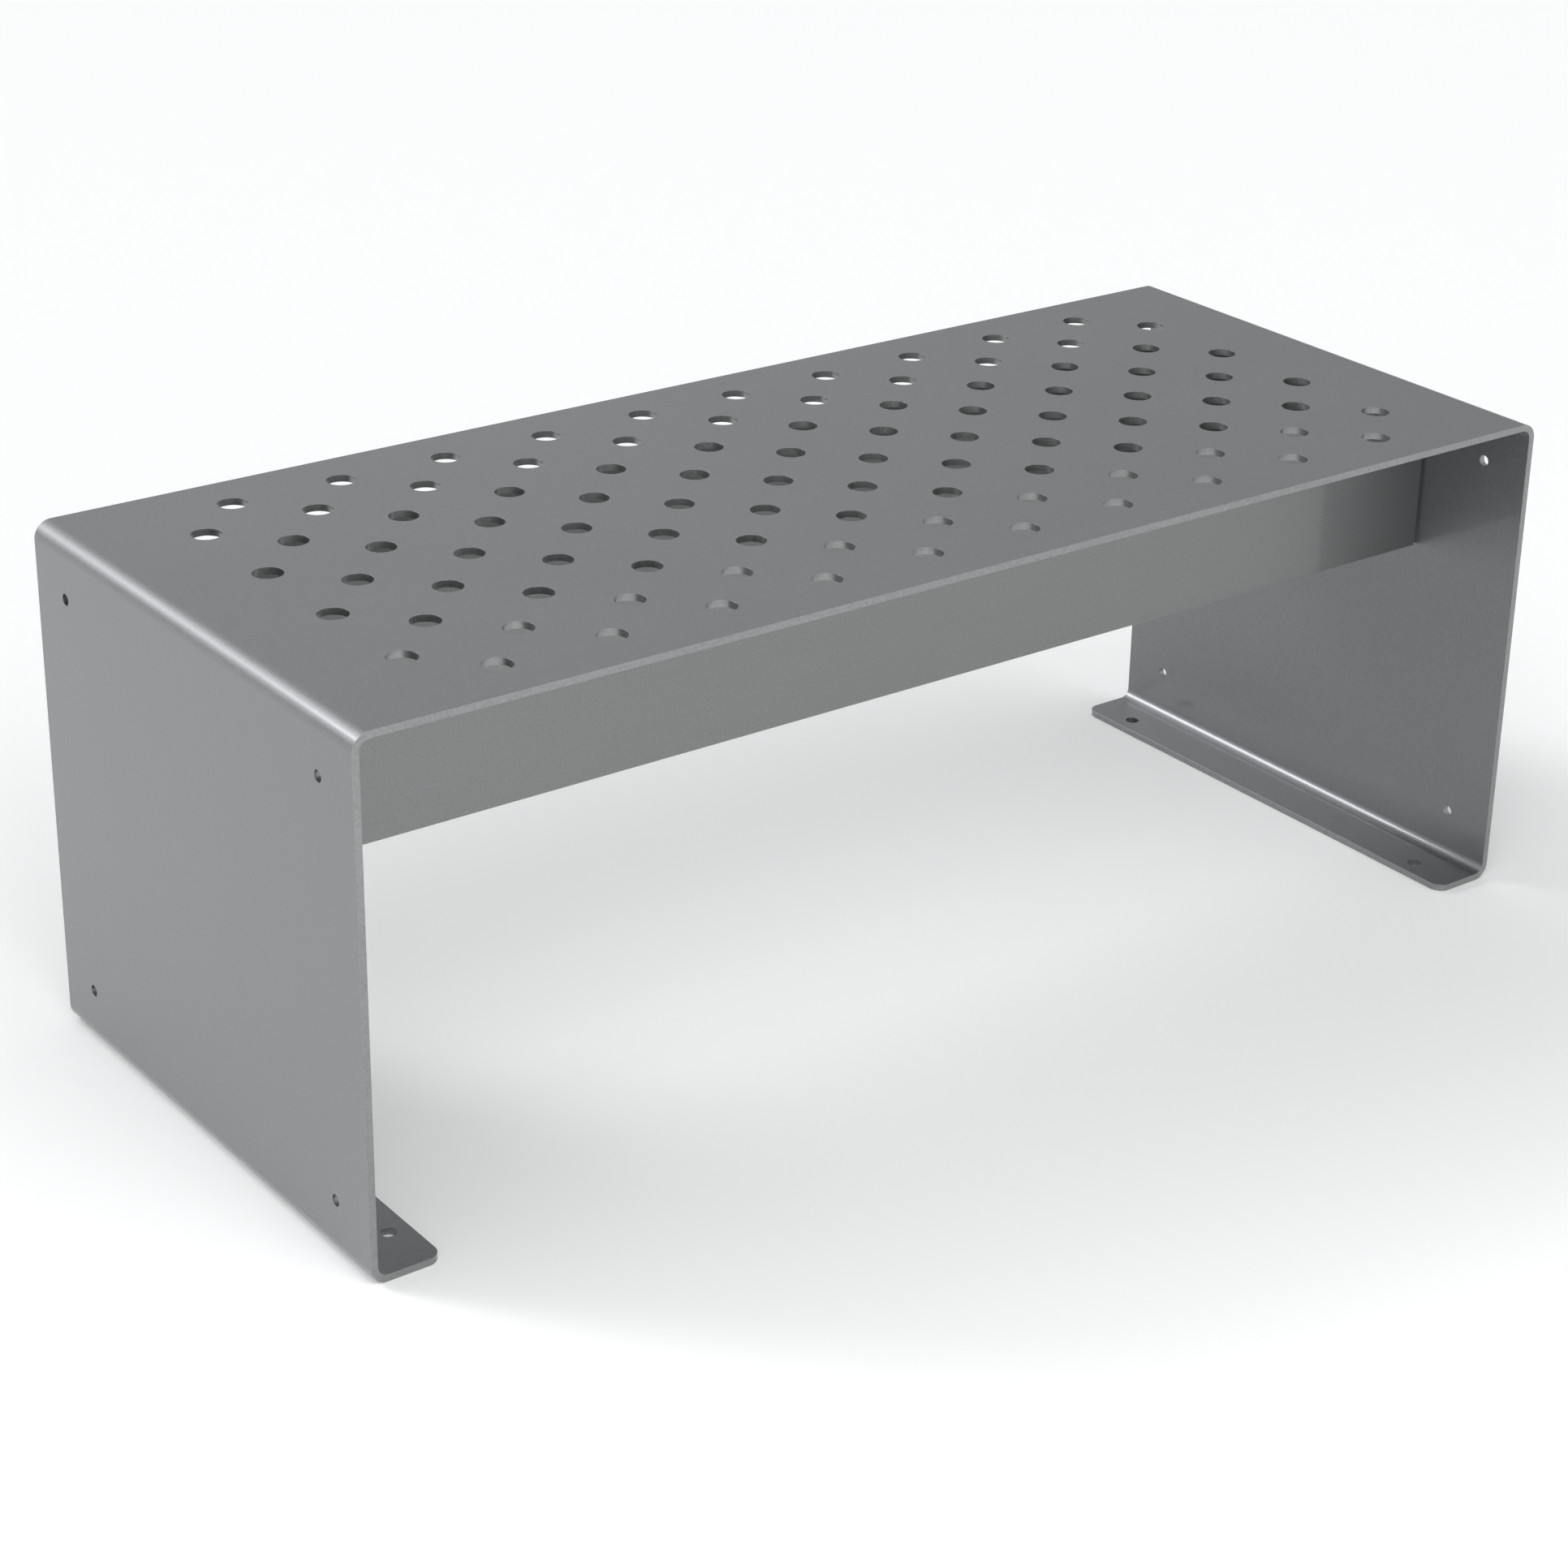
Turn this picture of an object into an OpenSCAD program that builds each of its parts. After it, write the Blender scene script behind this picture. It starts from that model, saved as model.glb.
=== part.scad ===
// Free-standing perforated work platform.
// One folded plate makes the deck, both legs and both feet. Two flat-bar
// stiffeners stand on edge under the deck and are stitch-welded to it.
// Origin: on the floor, midway between the legs and between the two long edges.
// X runs from the left leg to the right leg, Y from the front to the rear, Z up.

/* [Platform] */
// Length over the outer faces of the legs
platform_l = 1200; // [800:100:2000]
// Depth from the front edge to the rear edge
platform_w = 500; // [400:100:800]
// Height of the deck's top face above the floor
platform_h = 450; // [250:10:600]

/* [Folded plate] */
// Plate thickness
plate_t = 6; // [4:0.5:8]
// Inner radius of the four bends
bend_ri = 9; // [4:1:12]

/* [Deck holes] */
// Diameter of the deck holes
deck_hole_d = 25; // [15:1:30]
// Spacing of the columns and of the rows; every second place holds a hole
hole_step = 50; // [45:5:60]
// Least distance from a leg's outer face to the first column
end_margin = 100; // [80:10:150]
// Least distance from a long edge to the first row
edge_margin = 50; // [40:5:60]

/* [Leg holes] */
// Diameter of the joining holes in the legs
leg_hole_d = 10; // [8:0.5:14]
// Distance from a leg hole to the long edge, and to the floor or the deck top
leg_hole_inset = 50; // [30:5:80]

/* [Feet] */
// Length of a foot, from its leg's outer face to its free edge
foot_l = 62; // [60:1:90]
// Radius of a foot's two free corners
foot_corner_r = 12; // [4:1:18]
// Diameter of the floor-anchor holes
anchor_hole_d = 13; // [9:0.5:14]
// Distance from a floor-anchor hole to the leg's outer face
anchor_inset = 44; // [36:1:44]
// Distance from a floor-anchor hole to the long edge
anchor_edge = 50; // [30:5:80]

/* [Stiffeners] */
// Thickness of a stiffener
stiffener_t = 6; // [4:0.5:8]
// Depth of a stiffener below the deck's underside
stiffener_depth = 148; // [60:1:180]
// Least distance from a long edge of the deck to the middle of the nearer stiffener
stiffener_inset = 125; // [100:5:150]
// Gap between each end of a stiffener and the leg beside it
stiffener_end_gap = 3; // [1:0.5:10]
// Size of the snipped top corners, which clear the inside of the bends
stiffener_snipe = 14; // [13:1:25]

/* [Welds] */
// Leg length of the stitch welds
weld_leg = 5; // [3:0.5:6]
// Length of one stitch, over its rounded ends
stitch_l = 40; // [25:5:80]
// Spacing of the stitches along one seam
stitch_step = 200; // [100:50:300]

/* [Hidden] */

bend_ro = bend_ri + plate_t;
under_deck_z = platform_h - plate_t;
cut_over = 1;

// Odd counts keep the hole lattice symmetric about both centre planes.
deck_columns = 2 * floor((platform_l - 2 * end_margin) / (2 * hole_step)) + 1;
deck_rows = 2 * floor((platform_w - 2 * edge_margin) / (2 * hole_step)) + 1;

// Each stiffener runs midway between two rows of deck holes.
stiffener_rows_in = floor((platform_w / 2 - stiffener_inset) / hole_step - 1 / 2);
stiffener_y = (stiffener_rows_in + 1 / 2) * hole_step;
stiffener_l = platform_l - 2 * plate_t - 2 * stiffener_end_gap;

// An outer seam and the inner seam behind it are staggered by half a step.
outer_stitches = 2 * floor(stiffener_l / (2 * stitch_step) + 1 / 4);
inner_stitches = outer_stitches - 1;

steel_plate = [0.52, 0.53, 0.55];
steel_bar = [0.50, 0.51, 0.53];
weld_metal = [0.44, 0.44, 0.46];

$fn = 64;

// Rectangle with four round corners, standing on the X axis.
module round_cornered(length, height, corner_r) {
    translate([-length / 2 + corner_r, 0])
        square([length - 2 * corner_r, height]);
    translate([-length / 2, corner_r])
        square([length, height - 2 * corner_r]);
    for (x = [-1, 1], z = [corner_r, height - corner_r])
        translate([x * (length / 2 - corner_r), z])
            circle(r = corner_r);
}

// The folded strip seen from the front: a closed ring, cut open between the feet.
module strip_section() {
    mouth = platform_l - 2 * foot_l;
    difference() {
        round_cornered(platform_l, platform_h, bend_ro);
        translate([0, plate_t])
            round_cornered(platform_l - 2 * plate_t, platform_h - 2 * plate_t, bend_ri);
        translate([-mouth / 2, -cut_over])
            square([mouth, plate_t + bend_ri + cut_over]);
    }
}

module folded_strip() {
    rotate([90, 0, 0])
        linear_extrude(height = platform_w, center = true)
            strip_section();
}

// Staggered round holes over the whole deck.
module deck_holes() {
    for (i = [0 : deck_columns - 1], j = [0 : deck_rows - 1])
        if ((i + j) % 2 == 1)
            translate([
                (i - (deck_columns - 1) / 2) * hole_step,
                (j - (deck_rows - 1) / 2) * hole_step,
                under_deck_z - cut_over
            ])
                cylinder(d = deck_hole_d, h = plate_t + 2 * cut_over);
}

// Four holes in each leg, for bolting platforms side by side or to a wall.
module leg_holes() {
    for (side = [-1, 1], y = [-1, 1], z = [leg_hole_inset, platform_h - leg_hole_inset])
        translate([side * (platform_l - plate_t) / 2, y * (platform_w / 2 - leg_hole_inset), z])
            rotate([0, 90, 0])
                cylinder(d = leg_hole_d, h = plate_t + 2 * cut_over, center = true);
}

// Two floor-anchor holes in each foot.
module anchor_holes() {
    for (side = [-1, 1], y = [-1, 1])
        translate([side * (platform_l / 2 - anchor_inset), y * (platform_w / 2 - anchor_edge), -cut_over])
            cylinder(d = anchor_hole_d, h = plate_t + 2 * cut_over);
}

// What is trimmed off a foot's free corners to make them round.
module foot_corner_trims() {
    for (side = [-1, 1], y = [-1, 1])
        translate([
            side * (platform_l / 2 - foot_l + foot_corner_r),
            y * (platform_w / 2 - foot_corner_r),
            -cut_over
        ])
            difference() {
                translate([-side * foot_corner_r, y * foot_corner_r, (plate_t + 2 * cut_over) / 2])
                    cube([2 * foot_corner_r, 2 * foot_corner_r, plate_t + 2 * cut_over], center = true);
                cylinder(r = foot_corner_r, h = 2 * (plate_t + 2 * cut_over), center = true);
            }
}

module folded_plate() {
    color(steel_plate)
        difference() {
            folded_strip();
            deck_holes();
            leg_holes();
            anchor_holes();
            foot_corner_trims();
        }
}

// Flat bar on edge, its top corners snipped at 45 degrees.
module stiffener(y_middle) {
    half_l = stiffener_l / 2;
    bottom_z = under_deck_z - stiffener_depth;
    color(steel_bar)
        translate([0, y_middle, 0])
            rotate([90, 0, 0])
                linear_extrude(height = stiffener_t, center = true)
                    polygon([
                        [-half_l, bottom_z],
                        [half_l, bottom_z],
                        [half_l, under_deck_z - stiffener_snipe],
                        [half_l - stiffener_snipe, under_deck_z],
                        [-half_l + stiffener_snipe, under_deck_z],
                        [-half_l, under_deck_z - stiffener_snipe]
                    ]);
}

// One convex fillet bead in the corner between a stiffener and the deck.
module stitch() {
    straight_l = stitch_l - 2 * weld_leg;
    rotate([0, 90, 0])
        cylinder(r = weld_leg, h = straight_l, center = true);
    for (x = [-1, 1])
        translate([x * straight_l / 2, 0, 0])
            sphere(r = weld_leg);
}

// A row of stitches along one face of a stiffener; out is the way that face looks.
module seam(face_y, out, stitches) {
    color(weld_metal)
        intersection() {
            for (i = [0 : stitches - 1])
                translate([(i - (stitches - 1) / 2) * stitch_step, face_y, under_deck_z])
                    stitch();
            translate([0, face_y + out * weld_leg, under_deck_z - weld_leg])
                cube([platform_l, 2 * weld_leg, 2 * weld_leg], center = true);
        }
}

module front_stiffener() {
    stiffener(-stiffener_y);
}

module rear_stiffener() {
    stiffener(stiffener_y);
}

module front_outer_welds() {
    seam(-stiffener_y - stiffener_t / 2, -1, outer_stitches);
}

module front_inner_welds() {
    seam(-stiffener_y + stiffener_t / 2, 1, inner_stitches);
}

module rear_inner_welds() {
    seam(stiffener_y - stiffener_t / 2, -1, inner_stitches);
}

module rear_outer_welds() {
    seam(stiffener_y + stiffener_t / 2, 1, outer_stitches);
}

folded_plate();
front_stiffener();
rear_stiffener();
front_outer_welds();
front_inner_welds();
rear_inner_welds();
rear_outer_welds();
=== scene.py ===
"""Looks of a free-standing perforated work platform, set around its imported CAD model.

The CAD nodes keep their shapes: they get rounded edges and satin steel here. The plain weld
beads are replaced by rippled ones. The platform stands on a pale studio floor, under a soft
sky dome and a soft box. Lengths are in metres, and X, Y, Z are those of the CAD model.
"""

import math
import random

import bmesh
import bpy
from mathutils import Matrix, Vector


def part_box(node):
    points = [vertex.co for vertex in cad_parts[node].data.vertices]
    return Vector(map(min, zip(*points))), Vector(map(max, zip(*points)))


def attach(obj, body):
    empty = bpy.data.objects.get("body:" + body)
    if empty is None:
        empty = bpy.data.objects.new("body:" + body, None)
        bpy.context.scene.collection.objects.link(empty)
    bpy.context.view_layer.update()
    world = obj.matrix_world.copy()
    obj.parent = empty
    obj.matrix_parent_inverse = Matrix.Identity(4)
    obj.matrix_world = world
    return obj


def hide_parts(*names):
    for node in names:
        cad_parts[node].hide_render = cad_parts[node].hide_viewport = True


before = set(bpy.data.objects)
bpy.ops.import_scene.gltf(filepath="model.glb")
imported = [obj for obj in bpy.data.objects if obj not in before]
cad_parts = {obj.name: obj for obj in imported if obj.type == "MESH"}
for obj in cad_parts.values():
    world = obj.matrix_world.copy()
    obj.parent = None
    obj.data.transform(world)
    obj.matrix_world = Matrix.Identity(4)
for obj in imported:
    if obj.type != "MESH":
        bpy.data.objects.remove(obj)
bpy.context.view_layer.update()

MM = 0.001
BODY = "root"
BEND_INNER_RADIUS = 9 * MM

# ---------------------------------------------------------------- sizes, from the CAD model

_, plate_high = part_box("folded_plate")
_, bar_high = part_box("front_stiffener")
platform_h = plate_high.z
under_deck_z = bar_high.z
plate_t = platform_h - under_deck_z
bend_ro = plate_t + BEND_INNER_RADIUS
flat_half_l = plate_high.x - bend_ro

# ---------------------------------------------------------------- finish of the steel

TONE = 0.22
PLATE_COLOUR = (TONE, TONE * 1.02, TONE * 1.05)
BAR_COLOUR = (TONE, TONE * 1.005, TONE * 1.01)
CUT_COLOUR = (TONE * 1.20, TONE * 1.21, TONE * 1.22)
EDGE_COLOUR = (TONE * 1.3, TONE * 1.31, TONE * 1.32)
WELD_COLOUR = (TONE * 0.8, TONE * 0.8, TONE * 0.82)
STRAW_COLOUR = (0.235, 0.215, 0.18)

STEEL_ROUGHNESS = 0.50
CUT_ROUGHNESS = 0.45
EDGE_ROUGHNESS = 0.31
WELD_ROUGHNESS = 0.36

LACQUER_WEIGHT = 0.7
LACQUER_ROUGHNESS = 0.09

EDGE_RADIUS = 0.4 * MM
EDGE_SEGMENTS = 3
SHARP_EDGE = math.radians(30)
SAME_POINT = 0.001 * MM

# A corner's shading follows its largest faces. Faces whose area times corner angle differ by
# less than this count alike, so the bends shade as true cylinders and the flats as flats.
LARGEST_FACE_ONLY = 100
SAME_FACE_WEIGHT = 4e-6

# Noise cycles per metre, across and along the grain, and for the patterns without a grain.
GRAIN_LINES = 1300
GRAIN_RUN = 7
CUT_LINES = 2200
CUT_RUN = 60
CLOUD_SCALE = 4.5
SPECKLE_SCALE = 430.0
RUB_SCALE = 160.0
TINT_SCALE = 140.0
SOOT_SCALE = 900.0

# How far each pattern moves the tone, as a part of it, and the roughness.
GRAIN_TONE, GRAIN_ROUGHNESS = 0.09, 0.05
CLOUD_TONE, CLOUD_ROUGHNESS = 0.05, 0.04
SPECKLE_TONE, SPECKLE_ROUGHNESS = 0.28, 0.13
RUB_TONE, RUB_ROUGHNESS = 0.12, 0.06
SOOT_TONE, SOOT_ROUGHNESS = 0.20, 0.10
STRIATION_ROUGHNESS = 0.08

# The straw tint sets in where its noise passes the first number, and is full at the second.
STRAW_START, STRAW_FULL, STRAW_SHARE = 0.45, 0.75, 0.8

BUMP_STRENGTH = 0.5
STEEL_BUMP = 0.012 * MM
EDGE_BUMP = 0.02 * MM
WELD_BUMP = 0.03 * MM

# A face looks along an axis when that part of its normal is at least this long.
ALONG_AXIS = 0.5


class Nodes:
    """Short ways to add nodes to one node tree."""

    def __init__(self, tree):
        self.tree = tree

    def add(self, kind, inputs=None, **settings):
        """A new node with these settings; each input is a value or another node's output."""
        node = self.tree.nodes.new(kind)
        for name, value in settings.items():
            setattr(node, name, value)
        for name, value in (inputs or {}).items():
            if isinstance(value, bpy.types.NodeSocket):
                self.tree.links.new(value, node.inputs[name])
            else:
                node.inputs[name].default_value = value
        return node

    def math(self, operation, first, second=0.0):
        """The result of one operation on one or two numbers."""
        return self.add("ShaderNodeMath", {0: first, 1: second}, operation=operation).outputs[0]

    def split(self, vector):
        """The three parts of a vector."""
        return self.add("ShaderNodeSeparateXYZ", {0: vector}).outputs

    def scaled(self, vector, scale):
        """The vector with each part multiplied by a part of scale."""
        return self.add("ShaderNodeMapping", {"Vector": vector, "Scale": scale}).outputs[0]

    def noise(self, vector, scale=1.0, detail=3.0, roughness=0.6):
        """Smooth noise from 0 to 1, around 0.5."""
        inputs = {"Vector": vector, "Scale": scale, "Detail": detail, "Roughness": roughness}
        return self.add("ShaderNodeTexNoise", inputs).outputs[0]

    def span(self, value, low, high, start=0.0, end=1.0):
        """The value, carried from the range start to end over to the range low to high."""
        inputs = {"Value": value, "From Min": start, "From Max": end, "To Min": low, "To Max": high}
        return self.add("ShaderNodeMapRange", inputs).outputs[0]

    def around(self, value, middle, spread):
        """The noise value, carried to the range middle minus spread to middle plus spread."""
        return self.span(value, middle - spread, middle + spread)

    def fade(self, value, start, end, low, high):
        """The value's way from start to end, as a smooth step from low to high."""
        inputs = {"Value": value, "From Min": start, "From Max": end, "To Min": low, "To Max": high}
        return self.add("ShaderNodeMapRange", inputs, interpolation_type="SMOOTHSTEP").outputs[0]

    def blend(self, factor, first, second):
        """A number between first and second."""
        inputs = {0: factor, 2: first, 3: second}
        return self.add("ShaderNodeMix", inputs, data_type="FLOAT").outputs[0]

    def blend_colour(self, factor, first, second, how="MIX"):
        """A colour between first and second, or their product."""
        inputs = {0: factor, 6: first, 7: second}
        node = self.add("ShaderNodeMix", inputs, data_type="RGBA", blend_type=how)
        return node.outputs[2]

    def blend_vector(self, factor, first, second):
        """A vector between first and second."""
        inputs = {0: factor, 4: first, 5: second}
        return self.add("ShaderNodeMix", inputs, data_type="VECTOR").outputs[1]


def opaque(colour):
    """The colour with full alpha."""
    return (*colour, 1.0)


def new_material(name):
    """A lacquered metal: the material, its nodes and its Principled shader."""
    material = bpy.data.materials.new(name)
    material.use_nodes = True
    material.diffuse_color = opaque(PLATE_COLOUR)
    shader = material.node_tree.nodes["Principled BSDF"]
    shader.inputs["Metallic"].default_value = 1.0
    shader.inputs["Coat Weight"].default_value = LACQUER_WEIGHT
    shader.inputs["Coat Roughness"].default_value = LACQUER_ROUGHNESS
    return material, Nodes(material.node_tree), shader


def finish_material(nodes, shader, colour, roughness, height, depth):
    """Connects the colour, the roughness and a bump of that depth to the shader."""
    inputs = {"Height": height, "Strength": BUMP_STRENGTH, "Distance": depth}
    bump = nodes.add("ShaderNodeBump", inputs)
    nodes.tree.links.new(colour, shader.inputs["Base Color"])
    nodes.tree.links.new(roughness, shader.inputs["Roughness"])
    nodes.tree.links.new(bump.outputs[0], shader.inputs["Normal"])


def cut_mask_of_plate(nodes, position, normal):
    """1 on the sheet's cut faces, its edges and hole walls, and 1 on its upright parts."""
    x, _, z = nodes.split(position)
    normal_x, normal_y, normal_z = (nodes.math("ABSOLUTE", part) for part in nodes.split(normal))
    from_middle = nodes.math("ABSOLUTE", x)
    from_half_height = nodes.math("ABSOLUTE", nodes.math("SUBTRACT", z, platform_h / 2))
    on_level_part = nodes.math("LESS_THAN", from_middle, flat_half_l)
    on_leg = nodes.math("MULTIPLY",
                        nodes.math("GREATER_THAN", from_middle, flat_half_l),
                        nodes.math("LESS_THAN", from_half_height, platform_h / 2 - bend_ro))
    level_cut = nodes.math("MULTIPLY", on_level_part, nodes.math("LESS_THAN", normal_z, ALONG_AXIS))
    leg_cut = nodes.math("MULTIPLY", on_leg, nodes.math("LESS_THAN", normal_x, ALONG_AXIS))
    long_edge = nodes.math("GREATER_THAN", normal_y, ALONG_AXIS)
    cut = nodes.math("MAXIMUM", nodes.math("MAXIMUM", level_cut, leg_cut), long_edge)
    return cut, on_leg


def cut_mask_of_bar(nodes, position, normal):
    """1 on a flat bar's edges and ends, and 1 on its ends."""
    normal_x, normal_y, _ = (nodes.math("ABSOLUTE", part) for part in nodes.split(normal))
    cut = nodes.math("LESS_THAN", normal_y, ALONG_AXIS)
    on_end = nodes.math("GREATER_THAN", normal_x, ALONG_AXIS)
    return cut, on_end


def satin_steel(name, base_colour, grain_scale, cut_mask):
    """Satin rolled steel: fine grain, speckle and faint clouds, with brighter cut faces."""
    material, nodes, shader = new_material(name)
    position = nodes.add("ShaderNodeTexCoord").outputs["Object"]
    normal = nodes.add("ShaderNodeNewGeometry").outputs["Normal"]
    cut, upright = cut_mask(nodes, position, normal)

    grain = nodes.noise(nodes.scaled(position, grain_scale), detail=4.0)
    clouds = nodes.noise(position, scale=CLOUD_SCALE, detail=2.0)
    speckle = nodes.noise(position, scale=SPECKLE_SCALE)
    cut_coordinate = nodes.blend_vector(upright,
                                        nodes.scaled(position, (CUT_LINES, CUT_LINES, CUT_RUN)),
                                        nodes.scaled(position, (CUT_RUN, CUT_LINES, CUT_LINES)))
    striation = nodes.noise(cut_coordinate, detail=2.0)

    tone = nodes.math("MULTIPLY",
                      nodes.around(grain, 1.0, GRAIN_TONE),
                      nodes.around(clouds, 1.0, CLOUD_TONE))
    tone = nodes.math("MULTIPLY", tone, nodes.around(speckle, 1.0, SPECKLE_TONE))
    colour = nodes.blend_colour(cut, opaque(base_colour), opaque(CUT_COLOUR))
    colour = nodes.blend_colour(1.0, colour, tone, how="MULTIPLY")

    rolled = nodes.math("ADD",
                        nodes.around(grain, STEEL_ROUGHNESS, GRAIN_ROUGHNESS),
                        nodes.around(clouds, 0.0, CLOUD_ROUGHNESS))
    rolled = nodes.math("ADD", rolled, nodes.around(speckle, 0.0, SPECKLE_ROUGHNESS))
    sawn = nodes.around(striation, CUT_ROUGHNESS, STRIATION_ROUGHNESS)
    roughness = nodes.blend(cut, rolled, sawn)

    height = nodes.blend(cut, grain, striation)
    finish_material(nodes, shader, colour, roughness, height, STEEL_BUMP)
    return material


def deburred_edge():
    """The rounded edges, rubbed a little brighter and smoother than the faces."""
    material, nodes, shader = new_material("deburred_edge")
    position = nodes.add("ShaderNodeTexCoord").outputs["Object"]
    rub = nodes.noise(position, scale=RUB_SCALE)
    tone = nodes.around(rub, 1.0, RUB_TONE)
    colour = nodes.blend_colour(1.0, opaque(EDGE_COLOUR), tone, how="MULTIPLY")
    roughness = nodes.around(rub, EDGE_ROUGHNESS, RUB_ROUGHNESS)
    finish_material(nodes, shader, colour, roughness, rub, EDGE_BUMP)
    return material


def weld_metal():
    """Weld beads, wire-brushed after welding: darker than the plate, with a faint straw tint."""
    material, nodes, shader = new_material("weld_metal")
    position = nodes.add("ShaderNodeTexCoord").outputs["Object"]
    tint = nodes.noise(position, scale=TINT_SCALE, detail=2.0)
    soot = nodes.noise(position, scale=SOOT_SCALE)
    straw_share = nodes.span(tint, 0.0, STRAW_SHARE, STRAW_START, STRAW_FULL)
    colour = nodes.blend_colour(straw_share, opaque(WELD_COLOUR), opaque(STRAW_COLOUR))
    tone = nodes.around(soot, 1.0, SOOT_TONE)
    colour = nodes.blend_colour(1.0, colour, tone, how="MULTIPLY")
    roughness = nodes.around(soot, WELD_ROUGHNESS, SOOT_ROUGHNESS)
    finish_material(nodes, shader, colour, roughness, soot, WELD_BUMP)
    return material


# ---------------------------------------------------------------- plate and stiffeners

def round_edges(node):
    """Rounds the edges of a CAD node with modifiers; the new faces take its second material."""
    weld = node.modifiers.new("join_points", "WELD")
    weld.merge_threshold = SAME_POINT
    bevel = node.modifiers.new("deburred_edges", "BEVEL")
    bevel.width = EDGE_RADIUS
    bevel.segments = EDGE_SEGMENTS
    bevel.limit_method = "ANGLE"
    bevel.angle_limit = SHARP_EDGE
    bevel.material = 1
    shading = node.modifiers.new("true_normals", "WEIGHTED_NORMAL")
    shading.mode = "FACE_AREA_WITH_ANGLE"
    shading.weight = LARGEST_FACE_ONLY
    shading.thresh = SAME_FACE_WEIGHT


def dress(node_name, face_material, edge_material):
    """Gives a CAD node its finish, with the second material for its rounded edges."""
    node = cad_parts[node_name]
    node.data.materials.clear()
    node.data.materials.append(face_material)
    node.data.materials.append(edge_material)
    round_edges(node)


def dress_cad_nodes():
    """Finishes the folded plate and both stiffeners."""
    edge = deburred_edge()
    grain_along_strip = (GRAIN_RUN, GRAIN_LINES, GRAIN_RUN)
    grain_along_bar = (GRAIN_RUN, GRAIN_RUN, GRAIN_LINES)
    plate = satin_steel("plate_steel", PLATE_COLOUR, grain_along_strip, cut_mask_of_plate)
    bar = satin_steel("bar_steel", BAR_COLOUR, grain_along_bar, cut_mask_of_bar)
    dress("folded_plate", plate, edge)
    dress("front_stiffener", bar, edge)
    dress("rear_stiffener", bar, edge)


# ---------------------------------------------------------------- weld beads

RIPPLE_PITCH = 1.9 * MM
RINGS_PER_RIPPLE = 7
ARC_POINTS = 9
BEAD_BULGE = 0.35
RIPPLE_DEPTH = 0.07
RIPPLE_BOW = 0.9
RIPPLE_SPREAD = 0.2
BEAD_FILL = 0.97
SWELL_KEPT = 0.9
SWELL_STEP = 0.006
THINNEST_END = 0.12
CRATER_DEPTH = 0.10
CRATER_WIDTH = 0.55
ROOT_DEPTH = 0.4 * MM
STITCH_GAP = 50 * MM


def stitch_spans(node_name):
    """Start and end in X of each stitch in a CAD weld node."""
    places = sorted(vertex.co.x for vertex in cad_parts[node_name].data.vertices)
    spans = [[places[0], places[0]]]
    for x in places:
        if x - spans[-1][1] > STITCH_GAP:
            spans.append([x, x])
        spans[-1][1] = x
    return spans


def end_taper(x, start, end, leg):
    """How full the bead is at x: round at both ends, with a small crater where it stops."""
    into = min(x - start, end - x) / leg
    fullness = math.sqrt(max(0.0, 1 - (1 - into) ** 2)) if into < 1 else 1.0
    crater = CRATER_DEPTH * math.exp(-((end - leg - x) / (CRATER_WIDTH * leg)) ** 2)
    return max(THINNEST_END, fullness - crater)


def bead_ring(x, size, phase, leg):
    """Distance from the corner to the bead's surface at each angle from deck to stiffener."""
    ring = []
    for k in range(ARC_POINTS):
        angle = math.pi / 2 * k / (ARC_POINTS - 1)
        flat_face = 1 / (math.cos(angle) + math.sin(angle))
        across = 4 * angle / math.pi - 1
        ripple = (phase + RIPPLE_BOW * (1 - across ** 2)) % 1.0
        height = (1 - BEAD_BULGE) * flat_face + BEAD_BULGE
        dip = RIPPLE_DEPTH * ripple ** 2 * (1 - across ** 4)
        ring.append((angle, leg * size * height * (1 - dip)))
    return ring


def add_stitch(bm, start, end, corner_y, out, leg, rng):
    """One rippled bead from start to end, in the corner between deck and stiffener."""
    count = round((end - start) / RIPPLE_PITCH * RINGS_PER_RIPPLE)
    rings = []
    phase = rng.random()
    swell = 0.0
    for i in range(count + 1):
        x = start + (end - start) * i / count
        phase += rng.uniform(1 - RIPPLE_SPREAD, 1 + RIPPLE_SPREAD) / RINGS_PER_RIPPLE
        swell = SWELL_KEPT * swell + rng.uniform(-SWELL_STEP, SWELL_STEP)
        size = end_taper(x, start, end, leg) * (BEAD_FILL + swell)
        ring = [bm.verts.new((x, corner_y - out * ROOT_DEPTH, under_deck_z + ROOT_DEPTH))]
        for angle, radius in bead_ring(x, size, phase, leg):
            y = corner_y + out * radius * math.cos(angle)
            z = under_deck_z - radius * math.sin(angle)
            ring.append(bm.verts.new((x, y, z)))
        rings.append(ring)
    for before, after in zip(rings, rings[1:]):
        for k in range(len(before)):
            following = (k + 1) % len(before)
            bm.faces.new((before[k], before[following], after[following], after[k]))
    bm.faces.new(rings[0])
    bm.faces.new(rings[-1])


def weld_seam(node_name, bar_name, material, seed):
    """The rippled beads that stand for one CAD weld node."""
    low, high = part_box(node_name)
    beside_low, beside_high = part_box(bar_name)
    out = 1 if low.y + high.y > beside_low.y + beside_high.y else -1
    corner_y = low.y if out > 0 else high.y
    leg = high.z - low.z
    rng = random.Random(seed)
    bm = bmesh.new()
    for start, end in stitch_spans(node_name):
        add_stitch(bm, start, end, corner_y, out, leg, rng)
    bmesh.ops.recalc_face_normals(bm, faces=bm.faces)
    for face in bm.faces:
        face.smooth = True
    mesh = bpy.data.meshes.new(node_name + "_beads")
    bm.to_mesh(mesh)
    bm.free()
    mesh.materials.append(material)
    seam = bpy.data.objects.new(node_name + "_beads", mesh)
    bpy.context.scene.collection.objects.link(seam)
    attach(seam, BODY)
    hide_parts(node_name)


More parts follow.
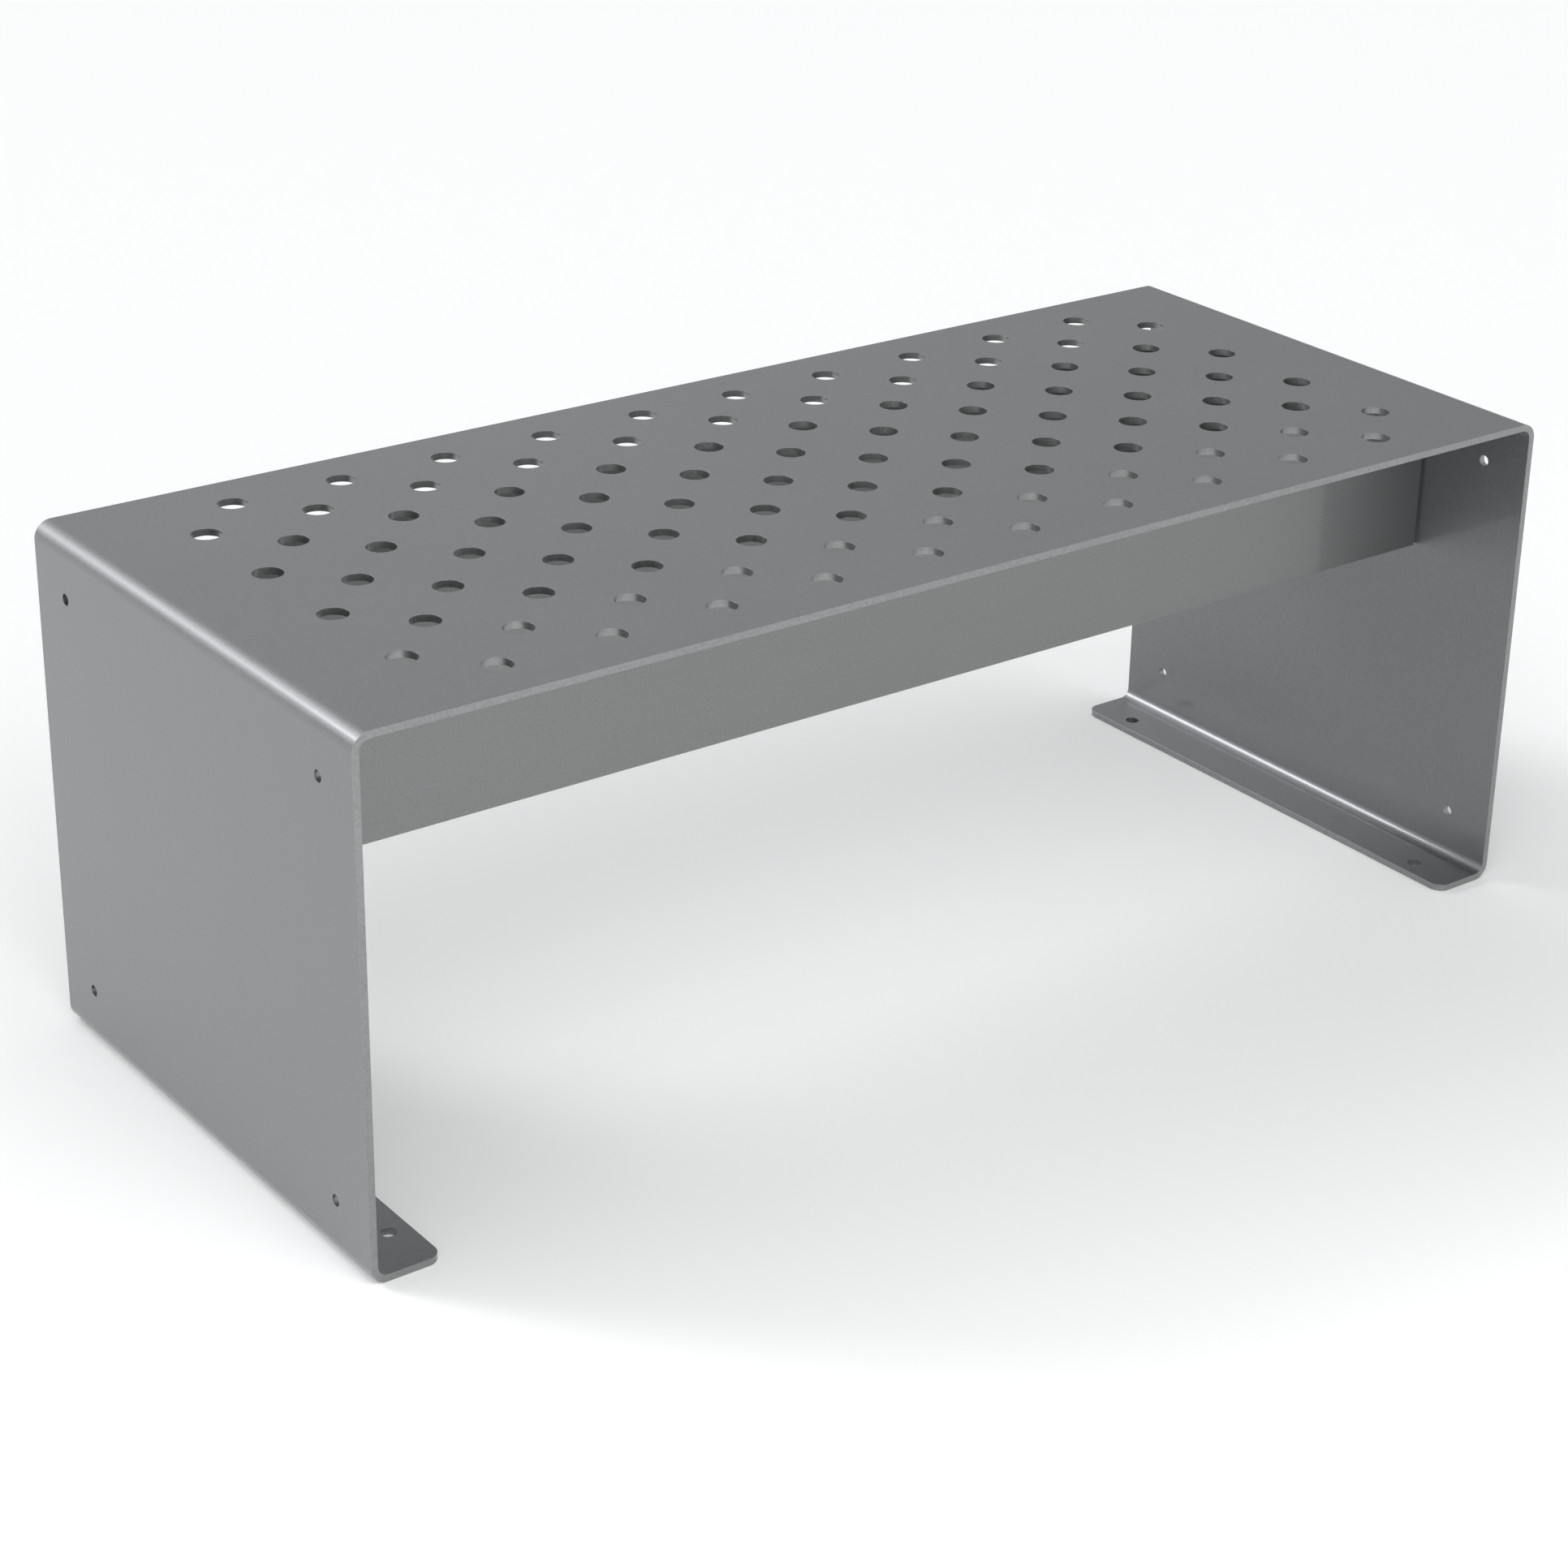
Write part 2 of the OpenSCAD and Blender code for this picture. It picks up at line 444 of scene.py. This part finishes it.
def weld_seams():
    """All four seams: one on each face of each stiffener."""
    material = weld_metal()
    sides = [(bar, side) for bar in ("front", "rear") for side in ("outer", "inner")]
    for seed, (bar, side) in enumerate(sides):
        weld_seam(f"{bar}_{side}_welds", f"{bar}_stiffener", material, seed)


# ---------------------------------------------------------------- studio

FLOOR_HALF = 40.0
FLOOR_GAP = 0.3 * MM
FLOOR_WHITE = 0.92
MATT_ROUGHNESS = 0.9
MATT_SPECULAR = 0.1

SKY_FRONT = 1.15
SKY_LOW = 0.22
SKY_LOW_TOP = 0.45
SKY_TINT = (0.985, 0.995, 1.0)

# Azimuth and elevation of the middle of each glow, its reach in degrees and its strength.
GLOWS = ((-36, 33, 13, 12.0), (-28, 39, 24, 1.0), (-34, 34, 45, 0.69), (12, 34, 40, 0.41))

FILL_PLACE = (-0.70, -1.35, 1.60)
FILL_SIDE = 1.0
FILL_RADIANCE = 3.9


def direction(azimuth, elevation):
    """Unit vector at that many degrees from +Y towards +X, and above the horizon."""
    turn, lift = math.radians(azimuth), math.radians(elevation)
    return Vector((math.sin(turn) * math.cos(lift), math.cos(turn) * math.cos(lift), math.sin(lift)))


def floor():
    """A plain pale floor just under the feet."""
    bm = bmesh.new()
    bmesh.ops.create_grid(bm, x_segments=1, y_segments=1, size=FLOOR_HALF)
    mesh = bpy.data.meshes.new("floor")
    bm.to_mesh(mesh)
    bm.free()
    ground = bpy.data.objects.new("floor", mesh)
    ground.location.z = -FLOOR_GAP
    bpy.context.scene.collection.objects.link(ground)
    material = bpy.data.materials.new("pale_floor")
    material.use_nodes = True
    shader = material.node_tree.nodes["Principled BSDF"]
    shader.inputs["Base Color"].default_value = opaque((FLOOR_WHITE, FLOOR_WHITE, FLOOR_WHITE))
    shader.inputs["Roughness"].default_value = MATT_ROUGHNESS
    shader.inputs["Specular IOR Level"].default_value = MATT_SPECULAR
    mesh.materials.append(material)


def glow(nodes, lookup, azimuth, elevation, reach, strength):
    """Brightness of one soft round glow in the sky, fading to nothing at its reach."""
    towards = {0: lookup, 1: direction(azimuth, elevation)}
    nearness = nodes.add("ShaderNodeVectorMath", towards, operation="DOT_PRODUCT").outputs["Value"]
    return nodes.fade(nearness, math.cos(math.radians(reach)), 1.0, 0.0, strength)


def sky():
    """A soft dome that fades from front to back, with round glows behind the platform."""
    world = bpy.data.worlds.new("sky")
    world.use_nodes = True
    nodes = Nodes(world.node_tree)
    lookup = nodes.add("ShaderNodeTexCoord").outputs["Generated"]
    _, behind, height = nodes.split(lookup)
    strength = nodes.math("ADD",
                          nodes.span(behind, SKY_FRONT, 0.0, -1.0, 1.0),
                          nodes.fade(height, SKY_LOW_TOP, 1.0, SKY_LOW, 0.0))
    for place in GLOWS:
        strength = nodes.math("ADD", strength, glow(nodes, lookup, *place))
    background = world.node_tree.nodes["Background"]
    background.inputs["Color"].default_value = opaque(SKY_TINT)
    world.node_tree.links.new(strength, background.inputs["Strength"])
    bpy.context.scene.world = world


def fill_light():
    """A square soft box that looks straight down on the floor in front of the left leg."""
    lamp = bpy.data.lights.new("fill", "AREA")
    lamp.shape = "SQUARE"
    lamp.size = FILL_SIDE
    lamp.energy = FILL_RADIANCE * math.pi * FILL_SIDE ** 2
    holder = bpy.data.objects.new("fill", lamp)
    holder.location = FILL_PLACE
    bpy.context.scene.collection.objects.link(holder)


# ---------------------------------------------------------------- camera

CAMERA_PLACE = (-1.6696, -2.1777, 1.4391)
CAMERA_AZIMUTH = -38.52
CAMERA_ELEVATION = 24.14
CAMERA_ROLL = 1.72
CAMERA_LENS = 79.45
CAMERA_SENSOR = 36.0
CAMERA_SHIFT = (-0.0599, -0.0332)
CAMERA_NEAR, CAMERA_FAR = 0.05, 100.0


def camera():
    """The camera in front of the left leg, looking down on the deck."""
    turn, lift, roll = (math.radians(a) for a in (CAMERA_AZIMUTH, CAMERA_ELEVATION, CAMERA_ROLL))
    back = Vector((math.sin(turn) * math.cos(lift), -math.cos(turn) * math.cos(lift), math.sin(lift)))
    level = Vector((0, 0, 1)).cross(back).normalized()
    upright = back.cross(level)
    right = math.cos(roll) * level + math.sin(roll) * upright
    up = math.cos(roll) * upright - math.sin(roll) * level
    lens = bpy.data.cameras.new("camera")
    lens.lens = CAMERA_LENS
    lens.sensor_width = CAMERA_SENSOR
    lens.shift_x, lens.shift_y = CAMERA_SHIFT
    lens.clip_start, lens.clip_end = CAMERA_NEAR, CAMERA_FAR
    holder = bpy.data.objects.new("camera", lens)
    place = Matrix((right, up, back)).transposed().to_4x4()
    place.translation = Vector(CAMERA_PLACE)
    holder.matrix_world = place
    bpy.context.scene.collection.objects.link(holder)
    bpy.context.scene.camera = holder


def plain_colours():
    """Shows the colours as lit, without a film curve."""
    bpy.context.scene.view_settings.view_transform = "Standard"


dress_cad_nodes()
weld_seams()
floor()
sky()
fill_light()
camera()
plain_colours()
